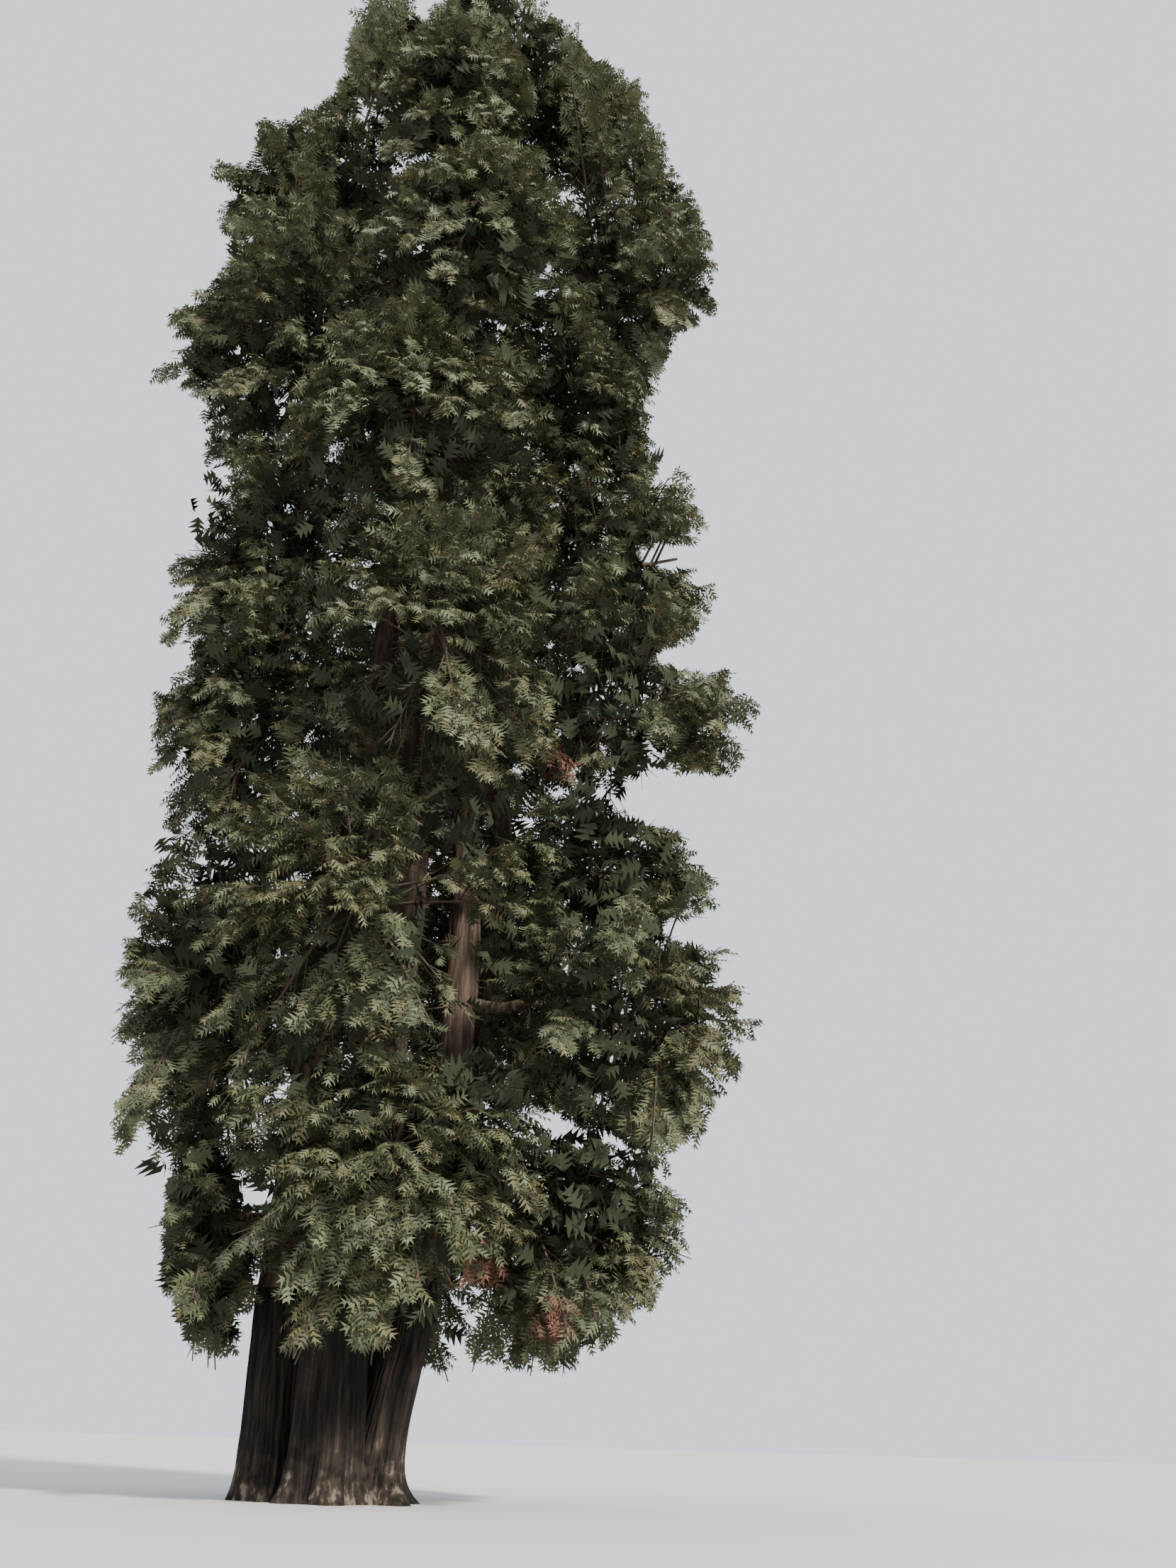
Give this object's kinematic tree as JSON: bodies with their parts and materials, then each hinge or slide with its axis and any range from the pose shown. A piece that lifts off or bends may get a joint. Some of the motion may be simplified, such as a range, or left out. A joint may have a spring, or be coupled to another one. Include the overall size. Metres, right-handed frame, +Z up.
{
  "type": "coast redwood tree",
  "caption": "Tall coast redwood: a clump of fused stems on a flared foot, boughs on all sides and dense needle foliage in layered masses up to a blunt top.",
  "frame": {"origin": "on the ground, at the flat cut under the clump of stems", "axes": "+Z up, +X to the right of the tree seen from its front, +Y to its back"},
  "size_m": [12.0441, 10.48, 34.3],
  "materials": {
    "trunk_bark": "fibrous furrowed bark, red-brown to grey",
    "bough_bark": "thin flaky bark, grey-tan",
    "needles": "dull dark green needle sprays"
  },
  "bodies": {
    "root": {"trunk_clump": "trunk_bark", "stem_middle": "trunk_bark", "stem_left": "trunk_bark", "stem_right": "trunk_bark", "stem_back": "trunk_bark", "bough_right_1": "bough_bark", "bough_right_2": "bough_bark", "bough_right_3": "bough_bark", "bough_right_4": "bough_bark", "bough_right_5": "bough_bark", "bough_right_6": "bough_bark", "bough_right_7": "bough_bark", "bough_right_8": "bough_bark", "bough_left_1": "bough_bark", "bough_left_2": "bough_bark", "bough_left_3": "bough_bark", "bough_left_4": "bough_bark", "bough_left_5": "bough_bark", "bough_left_6": "bough_bark", "bough_front_1": "bough_bark", "bough_front_2": "bough_bark", "bough_front_3": "bough_bark", "bough_front_4": "bough_bark", "bough_front_5": "bough_bark", "bough_front_6": "bough_bark", "bough_back_1": "bough_bark", "bough_back_2": "bough_bark", "bough_back_3": "bough_bark", "bough_back_4": "bough_bark", "bough_back_5": "bough_bark", "bough_back_6": "bough_bark", "bough_spire": "bough_bark", "foliage_right_1": "needles", "foliage_right_2": "needles", "foliage_right_3": "needles", "foliage_right_4": "needles", "foliage_right_5": "needles", "foliage_right_6": "needles", "foliage_right_7": "needles", "foliage_right_8": "needles", "foliage_left_1": "needles", "foliage_left_2": "needles", "foliage_left_3": "needles", "foliage_left_4": "needles", "foliage_left_5": "needles", "foliage_left_6": "needles", "foliage_front_1": "needles", "foliage_front_2": "needles", "foliage_front_3": "needles", "foliage_front_4": "needles", "foliage_front_5": "needles", "foliage_front_6": "needles", "foliage_back_1": "needles", "foliage_back_2": "needles", "foliage_back_3": "needles", "foliage_back_4": "needles", "foliage_back_5": "needles", "foliage_back_6": "needles", "foliage_top": "needles", "foliage_spire": "needles"}
  },
  "joints": []
}
